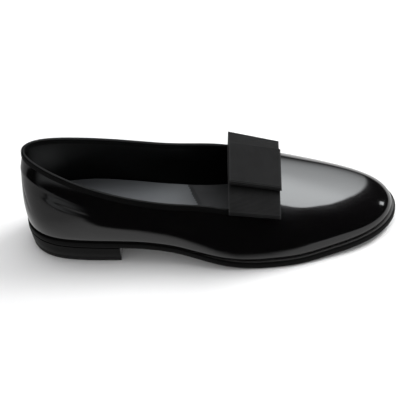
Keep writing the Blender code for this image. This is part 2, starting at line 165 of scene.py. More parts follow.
def periodic_spline(knots, values, at):
    """Smooth closed curve through values at knots; the last knot repeats the first."""
    step = np.diff(knots)
    count = len(step)
    slope = np.diff(values, axis=0) / step[:, None]
    matrix = np.zeros((count, count))
    right = np.zeros((count, values.shape[1]))
    for i in range(count):
        before = i - 1
        after = (i + 1) % count
        matrix[i, before] += step[before]
        matrix[i, i] += 2 * (step[before] + step[i])
        matrix[i, after] += step[i]
        right[i] = 6 * (slope[i] - slope[before])
    bend = np.linalg.solve(matrix, right)
    bend = np.vstack([bend, bend[:1]])
    span = np.clip(np.searchsorted(knots, at, side="right") - 1, 0, count - 1)
    width = step[span][:, None]
    left = (knots[span + 1] - at)[:, None]
    past = (at - knots[span])[:, None]
    cubic = (bend[span] * left ** 3 + bend[span + 1] * past ** 3) / (6 * width)
    start = (values[span] / width - bend[span] * width / 6) * left
    finish = (values[span + 1] / width - bend[span + 1] * width / 6) * past
    return cubic + start + finish


def steady_curve(at, knots, values):
    """Curve through a table of heights that never overshoots them, so that flats stay flat."""
    step = np.diff(knots)
    slope = np.diff(values) / step
    tangent = np.zeros(len(knots))
    for i in range(1, len(knots) - 1):
        if slope[i - 1] * slope[i] > 0:
            heavy = 2 * step[i] + step[i - 1]
            light = step[i] + 2 * step[i - 1]
            tangent[i] = (heavy + light) / (heavy / slope[i - 1] + light / slope[i])
    tangent[0] = slope[0]
    tangent[-1] = slope[-1]
    at = np.clip(at, knots[0], knots[-1])
    span = np.clip(np.searchsorted(knots, at, side="right") - 1, 0, len(step) - 1)
    t = (at - knots[span]) / step[span]
    start = (1 + 2 * t) * (1 - t) ** 2 * values[span] + t * t * (3 - 2 * t) * values[span + 1]
    lean = t * (1 - t) ** 2 * tangent[span] - t * t * (1 - t) * tangent[span + 1]
    return start + lean * step[span]


def last_width(x):
    """Width that the featherline's shares refer to."""
    share = (x / featherline_length - waist_share) / (ball_share - waist_share)
    return heel_width + (ball_width - heel_width) * ease(share)


def sole_underside(x):
    """Height of the outsole's underside above the floor."""
    knots = column(SOLE_COLUMNS, SOLE_ROWS, "along") * featherline_length
    heights = column(SOLE_COLUMNS, SOLE_ROWS, "heel") * heel_height
    heights = heights + column(SOLE_COLUMNS, SOLE_ROWS, "toe") * toe_spring
    return steady_curve(x, knots, heights)


def sole_top(x):
    """Height of the outsole's upper face."""
    return sole_underside(x) + sole_thickness


def edge_margin(x):
    """How far the outsole stands out past the featherline."""
    knots = column(MARGIN_COLUMNS, MARGIN_ROWS, "along") * featherline_length
    return steady_curve(x, knots, column(MARGIN_COLUMNS, MARGIN_ROWS, "margin")) * sole_margin


def outward(ring):
    """Level unit vectors pointing out of a closed ring that runs anticlockwise from above."""
    along = np.roll(ring, -1, axis=0) - np.roll(ring, 1, axis=0)
    side = np.column_stack([along[:, 1], -along[:, 0], np.zeros(len(ring))])
    return side / np.linalg.norm(side, axis=1)[:, None]


def wall_curves(stations):
    """Foot, head and the two handles of the wall at evenly spaced stations round the last."""
    wall = dict(zip(WALL_COLUMNS, np.array(list(WALL_ROWS.values())).T))
    foot_x = wall["along"] * featherline_length
    foot_y = wall["across"] * last_width(foot_x)
    head_z = wall["rear"] * collar_top + wall["fore"] * throat_top
    values = np.column_stack([
        foot_x, foot_y,
        wall["top_along"] * throat_at, wall["top_across"] * collar_width, head_z,
        wall["rise"] * throat_top, wall["bulge"] * heel_width,
        wall["reach"] * vamp_length, wall["drop"] * throat_top,
    ])
    values = np.vstack([values, values[:1]])
    chord = np.linalg.norm(np.diff(values[:, :2], axis=0), axis=1)
    knots = np.concatenate([[0.0], np.cumsum(chord)]) / chord.sum()
    curve = periodic_spline(knots, values, np.arange(stations) / stations)
    foot = np.column_stack([curve[:, :2], sole_top(curve[:, 0]) + gap])
    head = curve[:, 2:5]
    low = foot + outward(foot) * curve[:, 6:7]
    low[:, 2] += curve[:, 5]
    high = head + outward(head) * curve[:, 7:8]
    high[:, 2] -= curve[:, 8]
    return foot, low, high, head


class Wall:
    """The wall's face, sampled finely up each station's curve."""

    STEPS = 161          # samples up each curve
    NEAR = 0.0015        # how far up and down a normal is measured

    def __init__(self, stations):
        foot, low, high, head = wall_curves(stations)
        t = np.linspace(0, 1, self.STEPS)[:, None, None]
        self.path = ((1 - t) ** 3 * foot + 3 * t * (1 - t) ** 2 * low
                     + 3 * t * t * (1 - t) * high + t ** 3 * head)
        hop = np.linalg.norm(np.diff(self.path, axis=0), axis=2)
        self.run = np.vstack([np.zeros(stations), np.cumsum(hop, axis=0)])
        self.length = self.run[-1]
        self.stations = stations

    def points(self, distance):
        """Points at a distance up each station's curve; distance is one number or one each."""
        distance = np.clip(np.broadcast_to(distance, self.stations), 0, self.length)
        k = np.array([np.searchsorted(self.run[:, i], distance[i]) for i in range(self.stations)])
        k = np.clip(k, 1, len(self.run) - 1)
        here = np.arange(self.stations)
        low = self.run[k - 1, here]
        share = (distance - low) / np.maximum(self.run[k, here] - low, 1e-12)
        a = self.path[k - 1, here]
        b = self.path[k, here]
        return a + (b - a) * share[:, None]

    def ring(self, distance):
        """Points and outward normals at a distance up each station's curve."""
        points = self.points(distance)
        lower = self.points(distance - self.NEAR)
        upper = self.points(distance + self.NEAR)
        along = np.roll(points, -1, axis=0) - np.roll(points, 1, axis=0)
        normal = np.cross(along, upper - lower)
        return points, normal / np.linalg.norm(normal, axis=1)[:, None]


def outline(wall, climb, margin, stations=OUTLINE):
    """x, and y of the outer and inner side, of the last's outline a short climb up its wall."""
    around = wall.ring(climb)[0]
    ring = around[:, :2] + outward(around)[:, :2] * margin(around[:, 0])[:, None]
    back = ring[:, 0].argmin()
    ring = np.roll(ring, -back, axis=0)
    toe = ring[:, 0].argmax()
    outer = ring[:toe + 1]
    inner = np.vstack([ring[toe:], ring[:1]])[::-1]
    span = (1 - np.cos(np.pi * np.arange(stations) / (stations - 1))) / 2
    x = ring[0, 0] + (ring[toe, 0] - ring[0, 0]) * span
    return x, np.interp(x, outer[:, 0], outer[:, 1]), np.interp(x, inner[:, 0], inner[:, 1])


# Meshes

def mesh_object(name, points, faces, materials, slots=None, sharp=50, uvs=None):
    """New smooth object in the part's frame, riding on the shoe; slots has each face's material."""
    mesh = bpy.data.meshes.new(name)
    mesh.from_pydata((np.asarray(points) - SHIFT).tolist(), [], faces)
    if uvs is not None:
        layer = mesh.uv_layers.new(name="UVMap")
        flat = [uv for face in uvs for uv in face]
        layer.data.foreach_set("uv", np.array(flat, np.float32).ravel())
    for material in materials:
        mesh.materials.append(material)
    if slots is not None:
        mesh.polygons.foreach_set("material_index", np.array(slots, np.int32))
    work = bmesh.new()
    work.from_mesh(mesh)
    bmesh.ops.recalc_face_normals(work, faces=work.faces)
    work.to_mesh(mesh)
    work.free()
    mesh.shade_smooth()
    mesh.set_sharp_from_angle(angle=math.radians(sharp))
    piece = bpy.data.objects.new(name, mesh)
    bpy.context.scene.collection.objects.link(piece)
    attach(piece, "root")
    return piece


def band_faces(ring_count, size, closed):
    """Quads between neighbouring rings of equal size."""
    faces = []
    for k in range(ring_count if closed else ring_count - 1):
        a = k * size
        b = ((k + 1) % ring_count) * size
        for i in range(size):
            j = (i + 1) % size
            faces.append((a + i, a + j, b + j, b + i))
    return faces


def run_round(ring):
    """Distance run at each point of a closed ring, and back at the start."""
    hop = np.linalg.norm(np.roll(ring, -1, axis=0) - ring, axis=1)
    return np.concatenate([[0.0], np.cumsum(hop)])


def grid_uvs(us, vs):
    """UVs of closed band_faces: us runs round a ring and vs over the rings, back to the start."""
    uvs = []
    for k in range(len(vs) - 1):
        for i in range(len(us) - 1):
            uvs.append(((us[i], vs[k]), (us[i + 1], vs[k]),
                        (us[i + 1], vs[k + 1]), (us[i], vs[k + 1])))
    return uvs


def outline_ring(x, outer_y, inner_y, height):
    """Closed ring from the two sides of an outline, at a height worked out from x."""
    outer = np.column_stack([x, outer_y, height(x)])
    inner = np.column_stack([x, inner_y, height(x)])
    return np.vstack([outer, inner[-2:0:-1]])


def cap_strip(start, size):
    """Faces across an outline ring, joining the points that share an x."""
    pairs = [(k, size - k) for k in range(1, (size + 1) // 2)]
    faces = [(start, start + 1, start + size - 1)]
    if size % 2 == 0:
        middle = start + size // 2
        faces.append((middle - 1, middle, middle + 1))
    for (a, b), (c, d) in zip(pairs, pairs[1:]):
        faces.append((start + a, start + c, start + d, start + b))
    return faces


def grid_solid(name, top, bottom, materials):
    """Closed solid from a top and a bottom grid of points; its top has the first material."""
    rows, across = top.shape[:2]
    index = np.arange(rows * across).reshape(rows, across)
    faces = []
    for i in range(rows - 1):
        for j in range(across - 1):
            faces.append((index[i, j], index[i + 1, j], index[i + 1, j + 1], index[i, j + 1]))
    under = index + rows * across
    count = len(faces)
    for i in range(rows - 1):
        for j in range(across - 1):
            faces.append((under[i, j], under[i, j + 1], under[i + 1, j + 1], under[i + 1, j]))
    rim = [(i, 0) for i in range(rows)] + [(rows - 1, j) for j in range(1, across)]
    rim += [(i, across - 1) for i in range(rows - 2, -1, -1)]
    rim += [(0, j) for j in range(across - 2, 0, -1)]
    for (a, b), (c, d) in zip(rim, rim[1:] + rim[:1]):
        faces.append((index[a, b], under[a, b], under[c, d], index[c, d]))
    points = np.vstack([top.reshape(-1, 3), bottom.reshape(-1, 3)])
    slots = [0] * count + [1] * (len(faces) - count)
    return mesh_object(name, points, faces, materials, slots)


# Materials

def node(tree, kind, **settings):
    """New shader node with its settings."""
    made = tree.nodes.new(kind)
    for key, value in settings.items():
        if key in made.inputs:
            made.inputs[key].default_value = value
        else:
            setattr(made, key, value)
    return made


def principled(name, colour, roughness, coat=0.0, coat_roughness=0.03, sheen=0.0, specular=0.5):
    """Principled material; gives it and its node tree and shader."""
    material = bpy.data.materials.new(name)
    material.use_nodes = True
    tree = material.node_tree
    shader = tree.nodes["Principled BSDF"]
    shader.inputs["Base Color"].default_value = (*colour, 1)
    shader.inputs["Roughness"].default_value = roughness
    shader.inputs["Coat Weight"].default_value = coat
    shader.inputs["Coat Roughness"].default_value = coat_roughness
    shader.inputs["Sheen Weight"].default_value = sheen
    shader.inputs["Specular IOR Level"].default_value = specular
    material.diffuse_color = (*colour, 1)
    return material, tree, shader


def own_place(tree):
    """Where a point is on its own piece, in metres."""
    return tree.nodes.new("ShaderNodeTexCoord").outputs["Object"]


def noise(tree, scale, detail=2.0, roughness=0.5, vector=None):
    """Noise over the piece's own coordinates, or over others."""
    made = tree.nodes.new("ShaderNodeTexNoise")
    made.inputs["Scale"].default_value = scale
    made.inputs["Detail"].default_value = detail
    made.inputs["Roughness"].default_value = roughness
    tree.links.new(own_place(tree) if vector is None else vector, made.inputs["Vector"])
    return made.outputs["Fac"]


def remap(tree, source, low, high, to_low, to_high):
    """Clamped linear remap of a value."""
    made = tree.nodes.new("ShaderNodeMapRange")
    made.inputs["From Min"].default_value = low
    made.inputs["From Max"].default_value = high
    made.inputs["To Min"].default_value = to_low
    made.inputs["To Max"].default_value = to_high
    tree.links.new(source, made.inputs["Value"])
    return made.outputs["Result"]


def bump(tree, height, distance, strength=1.0, normal=None):
    """Bump node over a height, chained after another if given."""
    made = tree.nodes.new("ShaderNodeBump")
    made.inputs["Strength"].default_value = strength
    made.inputs["Distance"].default_value = distance
    tree.links.new(height, made.inputs["Height"])
    if normal is not None:
        tree.links.new(normal, made.inputs["Normal"])
    return made.outputs["Normal"]


def colour_between(tree, factor, low, high):
    """Mix of two colours by a factor; each is three numbers or the output of a node."""
    made = node(tree, "ShaderNodeMix", data_type="RGBA")
    for colour, socket in ((low, made.inputs[6]), (high, made.inputs[7])):
        if isinstance(colour, tuple):
            socket.default_value = (*colour, 1)
        else:
            tree.links.new(colour, socket)
    tree.links.new(factor, made.inputs[0])
    return made.outputs[2]


def patent_leather():
    """Black lacquered leather: a clear coat over a faintly uneven skin."""
    material, tree, shader = principled("patent", (0.0025, 0.0023, 0.0025), roughness=0.16,
                                        coat=1.0, coat_roughness=0.035, specular=0.15)
    shader.inputs["Coat IOR"].default_value = 1.52
    wave = noise(tree, 30, 2.0, 0.45)
    pore = noise(tree, 900, 3.0)
    tree.links.new(remap(tree, pore, 0.3, 0.7, 0.11, 0.22), shader.inputs["Roughness"])
    skin = bump(tree, wave, 0.00012)
    fine = bump(tree, pore, 0.000015, 1.0, skin)
    tree.links.new(fine, shader.inputs["Normal"])
    tree.links.new(skin, shader.inputs["Coat Normal"])
    return material


def smooth_leather(name, low, high, roughness, grain=1400, depth=0.00006, coat=0.0,
                   specular=0.5, coat_roughness=0.2):
    """Dyed leather with fine grain, mottled colour and gloss."""
    material, tree, shader = principled(name, low, roughness, coat, coat_roughness,
                                        specular=specular)
    patch = noise(tree, 60)
    cell = tree.nodes.new("ShaderNodeTexVoronoi")
    cell.inputs["Scale"].default_value = grain
    tree.links.new(own_place(tree), cell.inputs["Vector"])
    tree.links.new(colour_between(tree, patch, low, high), shader.inputs["Base Color"])
    tree.links.new(remap(tree, patch, 0.1, 0.9, roughness - 0.04, roughness + 0.06),
                   shader.inputs["Roughness"])
    tree.links.new(bump(tree, cell.outputs["Distance"], depth, 0.6), shader.inputs["Normal"])
    return material


# Where a ribbon's selvedge starts and is whole, in from its edge, and how light it is
SELVEDGE = (0.0011, 0.0005)
SELVEDGE_SHADE = 1.7


def ribbon(name, low, high, roughness, pitch, depth, half_width=None):
    """Ribbed silk ribbon: fine cords along V, repeated along U, with a thread-scale grain.

    A half width gives it a selvedge, a shade lighter, along both edges.
    """
    material, tree, shader = principled(name, low, roughness, sheen=0.02, specular=0.1)
    shader.inputs["Sheen Roughness"].default_value = 0.45
    split = tree.nodes.new("ShaderNodeSeparateXYZ")
    tree.links.new(tree.nodes.new("ShaderNodeUVMap").outputs["UV"], split.inputs["Vector"])
    turn = node(tree, "ShaderNodeMath", operation="MULTIPLY")
    turn.inputs[1].default_value = 2 * math.pi / pitch
    tree.links.new(split.outputs["X"], turn.inputs[0])
    cord = node(tree, "ShaderNodeMath", operation="SINE")
    tree.links.new(turn.outputs[0], cord.inputs[0])
    thread = noise(tree, 2600, 2.0, 0.6)
    patch = noise(tree, 90, 3.0)
    # Colour follows the cords: painted shade darkens the grooves between them and lights their
    # tops, with random tone in patches over it
    ridge = remap(tree, cord.outputs[0], -1.0, 1.0, 0.0, 1.0)
    shade = node(tree, "ShaderNodeMath", operation="MULTIPLY_ADD")
    tree.links.new(ridge, shade.inputs[0])
    shade.inputs[1].default_value = 0.6
    tree.links.new(remap(tree, patch, 0.3, 0.7, 0.0, 0.4), shade.inputs[2])
    colour = colour_between(tree, shade.outputs[0], low, high)
    if half_width is not None:
        side = node(tree, "ShaderNodeMath", operation="ABSOLUTE")
        tree.links.new(split.outputs["Y"], side.inputs[0])
        edge = remap(tree, side.outputs[0], half_width - SELVEDGE[0], half_width - SELVEDGE[1],
                     0.0, 1.0)
        colour = colour_between(tree, edge, colour, tuple(SELVEDGE_SHADE * c for c in high))
    tree.links.new(colour, shader.inputs["Base Color"])
    ribs = bump(tree, ridge, depth)
    tree.links.new(bump(tree, thread, 0.00004, 0.7, ribs), shader.inputs["Normal"])
    return material


def edge_leather(name, colour, roughness, coat):
    """Burnished leather edge, streaked along the layers it was cut across."""
    material, tree, shader = principled(name, colour, roughness, coat, coat_roughness=0.25,
                                        specular=0.05)
    place = tree.nodes.new("ShaderNodeMapping")
    place.inputs["Scale"].default_value = (60, 60, 2200)
    tree.links.new(own_place(tree), place.inputs["Vector"])
    streak = noise(tree, 1.0, 3.0, 0.6, place.outputs["Vector"])
    lighter = tuple(1.8 * c for c in colour)
    tree.links.new(colour_between(tree, streak, colour, lighter), shader.inputs["Base Color"])
    tree.links.new(remap(tree, streak, 0.3, 0.7, roughness - 0.06, roughness + 0.1),
                   shader.inputs["Roughness"])
    tree.links.new(bump(tree, streak, 0.00006, 0.7), shader.inputs["Normal"])
    return material


PATENT = patent_leather()
LINING = smooth_leather("lining", (0.0012,) * 3, (0.0025,) * 3, 0.30, specular=0.16)
SOCK = smooth_leather("sock", (0.088, 0.093, 0.099), (0.104, 0.110, 0.117), 0.30,
                      grain=1000, depth=0.00003, coat=1.0, coat_roughness=0.12)
# The forepart past the sock's end is darker: partly its own leather, partly painted shade of the
# bow over it
FOREPART_AND_SHADE = smooth_leather("sock_forepart_and_shade", (0.040, 0.041, 0.043), (0.050, 0.051, 0.053), 0.60,
                          grain=1000, depth=0.00003, specular=0.1)
BOARD = smooth_leather("insole_board", (0.010,) * 3, (0.015,) * 3, 0.6)
BOW = ribbon("bow_grosgrain", (0.005,) * 3, (0.0125, 0.0125, 0.0128), 0.85,
             pitch=0.00095, depth=0.00022, half_width=ribbon_width / 2 / math.hypot(1, bow_slope))
BINDING = ribbon("binding_grosgrain", (0.0012,) * 3, (0.0035,) * 3, 0.50,
                 pitch=0.0008, depth=0.00008)
SOLE_EDGE = edge_leather("sole_edge", (0.0020,) * 3, 0.42, 0.03)
HEEL_EDGE = edge_leather("heel_edge", (0.003,) * 3, 0.50, 0.04)
TREAD = smooth_leather("sole_tread", (0.012, 0.011, 0.010), (0.020, 0.018, 0.017), 0.55, grain=900)
RUBBER = smooth_leather("rubber", (0.003,) * 3, (0.006,) * 3, 0.62, grain=2000, specular=0.15)


# Pieces

WALL = Wall(AROUND)


# Where the roll round the counter starts to die away and ends, as shares of the featherline
COUNTER_REACH = (0.14, 0.30)
# Height of the roll above the face by distance below the topline, and how far it is smoothed
ROLL_BLUR = 0.0006
ROLL_COLUMNS = ("below", "proud")
ROLL_ROWS = (
    (0.0000, 0.0), (0.0042, 0.0), (0.0152, 0.00114), (0.0166, 0.00127),
    (0.0182, 0.00108), (0.0240, 0.00070), (0.0340, 0.00020), (0.0440, 0.0),
)
# Soft creases, from one place to another: share round the wall and distance below the topline
CREASE_COLUMNS = ("from_share", "from_below", "to_share", "to_below", "half_width", "depth")
CREASE_ROWS = (
    (0.006, 0.0180, 0.034, 0.0480, 0.0016, 0.00045),
    (0.060, 0.0250, 0.165, 0.0215, 0.0014, 0.00010),
    (0.975, 0.0200, 0.930, 0.0400, 0.0018, 0.00030),
)


def relief(below):
    """Roll of the counter and the creases under it, at a distance below the topline."""
    at = column(ROLL_COLUMNS, ROLL_ROWS, "below")
    roll = sum(np.interp(below + shift, at, column(ROLL_COLUMNS, ROLL_ROWS, "proud"))
               for shift in (-ROLL_BLUR, 0.0, ROLL_BLUR)) / 3
    along = WALL.path[0, :, 0] / featherline_length
    height = roll * (1 - ease((along - COUNTER_REACH[0]) / (COUNTER_REACH[1] - COUNTER_REACH[0])))
    share = np.arange(AROUND) / AROUND
    for row in CREASE_ROWS:
        crease = dict(zip(CREASE_COLUMNS, row))
        span = (share - crease["from_share"]) / (crease["to_share"] - crease["from_share"])
        middle = crease["from_below"] + (crease["to_below"] - crease["from_below"]) * span
        fade = ease(4 * span) * ease(4 * (1 - span))
        off = (below - middle) / crease["half_width"]
        height = height - crease["depth"] * fade * np.exp(-off * off)
    return height


# How the face is turned in at the sole: climb up the wall, and how far it is tucked in there
TUCK_ROWS = ((0.0, 0.0011), (0.0004, 0.0006), (0.0009, 0.0003), (0.0015, 0.00012),
             (0.0023, 0.00003), (0.0034, 0.0))
FACE_FROM = 0.0046


def build_upper():
    """Patent face, turned in at the sole, over a lining, skived where the binding holds it."""
    edge = binding_depth + gap
    outer_skive = binding_thickness + gap - binding_proud
    inner_skive = outer_skive + skived_wall
    rim = binding_thickness + gap
    length = WALL.length
    rise = length - edge
    rings = []
    for climb, inset in TUCK_ROWS:
        points, normal = WALL.ring(climb)
        rings.append(points - normal * inset)
    for share in np.linspace(0.0, 1.0, FACE_RINGS):
        climb = FACE_FROM + share * (rise - FACE_FROM)
        points, normal = WALL.ring(climb)
        rings.append(points + normal * relief(length - climb)[:, None])
    patent_rings = len(rings) + 2
    for depth in (edge, (edge + rim) / 2, rim):
        points, normal = WALL.ring(length - depth)
        rings.append(points - normal * outer_skive)
    for depth in (rim, (edge + rim) / 2, edge):
        points, normal = WALL.ring(length - depth)
        rings.append(points - normal * inner_skive)
    for share in np.linspace(1.0, 0.0, LINING_RINGS):
        points, normal = WALL.ring(share * rise)
        rings.append(points - normal * upper_wall)
    for ring in (rings[0], rings[-1]):
        ring[:, 2] = sole_top(ring[:, 0]) + gap
    faces = band_faces(len(rings), AROUND, closed=True)
    lining_rings = len(rings) - 1 - patent_rings
    slots = [0] * patent_rings * AROUND + [1] * lining_rings * AROUND + [0] * AROUND
    piece = mesh_object("upper_leather", np.vstack(rings), faces, [PATENT, LINING], slots, 60)
    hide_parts("upper")


# Binding
FOLD_ROUND = 0.0009      # depth of its round fold
BINDING_SWELL = 0.00012  # how full its outer leg is
SLOT_TOP = 0.0012        # depth at which the slot between its legs starts
SLOT_MIDDLE = 0.0032     # depth of one more pair of points in the slot
SLOT_MOUTH = 0.0001      # how much the slot widens at its mouth
BINDING_RUN = 0.012      # length of its section, for its weave


def build_binding():
    """Ribbon folded over the topline, a little fuller between its two edges."""
    outer_leg = binding_thickness - binding_proud
    inner_leg = outer_leg + gap + skived_wall + gap
    far = inner_leg + binding_thickness
    middle = (far - binding_proud) / 2
    reach = (far + binding_proud) / 2
    leg = binding_depth - FOLD_ROUND
    section = []
    for share in np.linspace(0, 1, BINDING_POINTS):
        swell = BINDING_SWELL * math.sin(math.pi * share)
        section.append((binding_depth - share * leg, -binding_proud - swell))
    for turn in np.linspace(0, math.pi, BINDING_TURN)[1:-1]:
        section.append((FOLD_ROUND * (1 - math.sin(turn)), middle - reach * math.cos(turn)))
    for share in np.linspace(0, 1, BINDING_POINTS):
        section.append((FOLD_ROUND + share * leg, far))
    section += [(binding_depth, inner_leg + SLOT_MOUTH), (SLOT_MIDDLE, inner_leg),
                (SLOT_TOP, inner_leg), (SLOT_TOP, outer_leg), (SLOT_MIDDLE, outer_leg),
                (binding_depth, outer_leg - SLOT_MOUTH)]
    rings = []
    for depth, inset in section:
        points, normal = WALL.ring(WALL.length - depth)
        rings.append(points - normal * inset)
    us = run_round(rings[BINDING_POINTS - 1])
    vs = np.linspace(0, BINDING_RUN, len(rings) + 1)
    faces = band_faces(len(rings), AROUND, closed=True)
    uvs = grid_uvs(us, vs)
    piece = mesh_object("topline_ribbon", np.vstack(rings), faces, [BINDING], uvs=uvs)
    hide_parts("topline_binding")


# Sock
SOCK_DISH = 0.0006       # depth of its hollow
SOCK_BROAD = 0.05        # width from which it is fully hollow
SOCK_TAPER = 0.0004      # how much each side draws in towards the sole
# Its front end, a step down to the forepart, aslant across the waist; the forepart's colour is
# darker and matt, partly the insole's own leather and partly painted shade of the bow
STEP_AT = 0.1376
STEP_SLANT = -0.374
STEP_WIDTH = 0.0050
STEP_DEPTH = 0.0020


def build_insole():
    """Sock lining over the insole, hollowed a little, its rim against the lining."""
    clear = upper_wall + insole_clearance - gap
    spread = np.sin(np.linspace(-1, 1, SOCK_POINTS) * np.pi / 2)
    sheets = []
    for climb, inset in ((insole_thickness, clear), (0.0, clear + SOCK_TAPER)):
        x, outer_y, inner_y = outline(WALL, climb, lambda v, i=inset: np.full(len(v), -i),
                                      3 * OUTLINE)
        half = (inner_y - outer_y)[:, None] / 2
        y = (outer_y + inner_y)[:, None] / 2 + half * spread
        level = (sole_top(x) + gap + climb)[:, None]
        sheets.append(np.dstack(np.broadcast_arrays(x[:, None], y, level)))
        if climb > 0:
            inside = (1 - spread ** 2) * np.clip(2 * half / SOCK_BROAD, 0, 1)
    top, bottom = sheets
    ahead = top[:, :, 0] - STEP_AT - STEP_SLANT * top[:, :, 1]
    step = STEP_DEPTH * ease(ahead / STEP_WIDTH) * np.minimum(1, 3 * inside)
    top[:, :, 2] -= SOCK_DISH * inside + step
    piece = grid_solid("sock_lining", top, bottom, [SOCK, BOARD, FOREPART_AND_SHADE])
    # Top faces ahead of the step take the forepart's colour, which holds painted shade of the bow
    for face in piece.data.polygons:
        along, aside = face.center.x + SHIFT[0], face.center.y + SHIFT[1]
        if face.material_index == 0 and along > STEP_AT + STEP_SLANT * aside:
            face.material_index = 2
    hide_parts("insole")


# The sole's edge from its upper face down: inset, whether the height is from that face, height
EDGE_ROWS = ((0.0012, True, 0.0), (0.0005, True, -0.0001), (0.00015, True, -0.00045),
             (0.0, True, -0.0010), (0.0, True, -0.0030), (0.0, False, 0.0014),
             (0.00015, False, 0.0007), (0.0006, False, 0.00015), (0.0013, False, 0.0))


def build_outsole():
    """Leather sole with an eased edge and a fine step under the upper."""
    rings = []
    for inset, on_top, shift in EDGE_ROWS:
        level = sole_top if on_top else sole_underside
        x, outer_y, inner_y = outline(WALL, 0.0, lambda v, i=inset: edge_margin(v) - i)
        rings.append(outline_ring(x, outer_y, inner_y, lambda v, f=level, s=shift: f(v) + s))
    size = len(rings[0])
    faces = band_faces(len(rings), size, closed=False)
    sides = len(faces)
    faces += cap_strip(0, size)
    faces += cap_strip((len(rings) - 1) * size, size)
    slots = [0] * sides + [1] * (len(faces) - sides)
    piece = mesh_object("leather_sole", np.vstack(rings), faces, [SOLE_EDGE, TREAD], slots, 35)
    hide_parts("outsole")


def heel_ring(margin, breast_at, height):
    """Closed ring round the back of the last, cut straight across at the breast."""
    x, outer_y, inner_y = outline(WALL, 0.0, margin, 4 * OUTLINE)
    span = 1 - np.cos(np.linspace(0, np.pi / 2, HEEL_POINTS))
    at = x[0] + (breast_at - x[0]) * span
    level = height(at)
    side = np.column_stack([at, np.interp(at, x, outer_y), level])
    other = np.column_stack([at, np.interp(at, x, inner_y), level])
    return np.vstack([side, other[:0:-1]])


def heel_slab(name, levels, material):
    """Heel layer from rings at given heights, insets and breast setbacks, capped flat."""
    rings = []
    for z, inset, height in levels:
        taper = heel_taper * (1 - z / heel_height)
        rings.append(heel_ring(lambda v, i=inset, t=taper: edge_margin(v) - t - i,
                               heel_breast_at - inset, height))
    size = len(rings[0])
    faces = band_faces(len(rings), size, closed=False)
    faces += cap_strip(0, size)
    faces += cap_strip((len(rings) - 1) * size, size)
    return mesh_object(name, np.vstack(rings), faces, [material], sharp=35)


def flat(z):
    """Level height."""
    return lambda x: np.full(len(x), z)


# Heel
JOINT = 0.00004          # hairline between sole, block and top piece
JOINT_EASE = 0.0002      # ease of the edges along it
LIFT_EASE = 0.0006       # ease of the edge on the floor


def build_heel():
    """Stacked block and the top piece it is nailed to, with an eased joint between them."""
    foot = top_piece_thickness + JOINT
    waist = heel_height * 0.66
    block = heel_slab("heel_stack", (
        (heel_height, JOINT_EASE, lambda x: sole_underside(x) - JOINT),
        (heel_height, 0.0, lambda x: sole_underside(x) - JOINT - JOINT_EASE),
        (waist, 0.0, flat(waist)),
        (foot + JOINT_EASE, 0.0, flat(foot + JOINT_EASE)),
        (foot, JOINT_EASE / 2, flat(foot))), HEEL_EDGE)
    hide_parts("heel_block")
    lift = heel_slab("heel_lift", (
        (top_piece_thickness, JOINT_EASE / 2, flat(top_piece_thickness)),
        (top_piece_thickness - JOINT_EASE, 0.0, flat(top_piece_thickness - JOINT_EASE)),
        (LIFT_EASE, 0.0, flat(LIFT_EASE)),
        (0.0, LIFT_EASE, flat(0.0))), RUBBER)
    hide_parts("heel_top_piece")


def loop_path(span, crown):
    """Middle line of a flat ribbon loop seen from the toe: y and height from its middle."""
    half = span / 2
    share = np.sin(np.linspace(-1, 1, LOOP_POINTS) * np.pi / 2)
    opening = pinch_opening + (loop_opening - pinch_opening) * share ** 2
    radius = (opening + ribbon_thickness) / 2
    y = share * (half - radius[0] - ribbon_thickness / 2)
    rest = -crown * share ** 2
    top = np.column_stack([y, rest + radius])
    bottom = np.column_stack([y, rest - radius])[::-1]
    turn = np.linspace(0, np.pi, LOOP_TURN)[1:-1]
    end = np.column_stack([np.sin(turn), np.cos(turn)]) * radius[0]
    return np.vstack([top, end + (y[-1], rest[-1]), bottom, -end + (y[0], rest[0])])


def path_normals(path):
    """Unit normals of a closed path in its own plane, pointing out of it."""
    along = np.roll(path, -1, axis=0) - np.roll(path, 1, axis=0)
    side = np.column_stack([-along[:, 1], along[:, 0]])
    return side / np.linalg.norm(side, axis=1)[:, None]


# Ribbon of the bow, as shares of its width and thickness
WHOLE_HALF = 0.492       # how far from its middle it is whole
EDGE_SHARE = 0.55        # how thick it is at its very edge


def build_loop(name, cad_node, span, crown, twist, middle):
    """One flat loop of ribbon, set at the height of the solid it stands for."""
    path = loop_path(span, crown)
    side = path_normals(path) * ribbon_thickness / 2
    slope = bow_slope + twist * path[:, 0] / path[:, 0].max()
    width = ribbon_width / math.hypot(1, bow_slope)
    whole = np.linspace(-WHOLE_HALF, WHOLE_HALF, RIBBON_POINTS)
    across = np.concatenate([[-0.5], whole, [0.5]]) * width
    edge = np.ones(len(across))
    edge[[0, -1]] = EDGE_SHARE
    rings = []
    vs = []
    for sign, order in ((1, range(len(across))), (-1, range(len(across) - 1, -1, -1))):
        for k in order:
            ring = path + sign * side * edge[k]
            height = ring[:, 1] + bow_tilt * (ring[:, 0] + middle[1]) - slope * across[k]
            rings.append(np.column_stack([np.full(len(ring), middle[0] + across[k]),
                                          ring[:, 0] + middle[1], height]))
            vs.append(across[k])
    vs.append(across[0])
    points = np.vstack(rings)
    points[:, 2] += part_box(cad_node)[1].z - points[:, 2].max()
    us = run_round(path)
    faces = band_faces(len(rings), len(path), closed=True)
    uvs = grid_uvs(us, vs)
    piece = mesh_object(name, points, faces, [BOW], uvs=uvs)
    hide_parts(cad_node)


build_upper()
build_binding()
build_insole()
build_outsole()
build_heel()
build_loop("lower_ribbon_loop", "bow_lower_loop", lower_loop_span, lower_loop_crown,
           lower_loop_twist, (bow_middle_at, lower_loop_middle))
build_loop("upper_ribbon_loop", "bow_upper_loop", upper_loop_span, upper_loop_crown,
           upper_loop_twist, (bow_middle_at + upper_loop_forward, upper_loop_middle))


# Studio

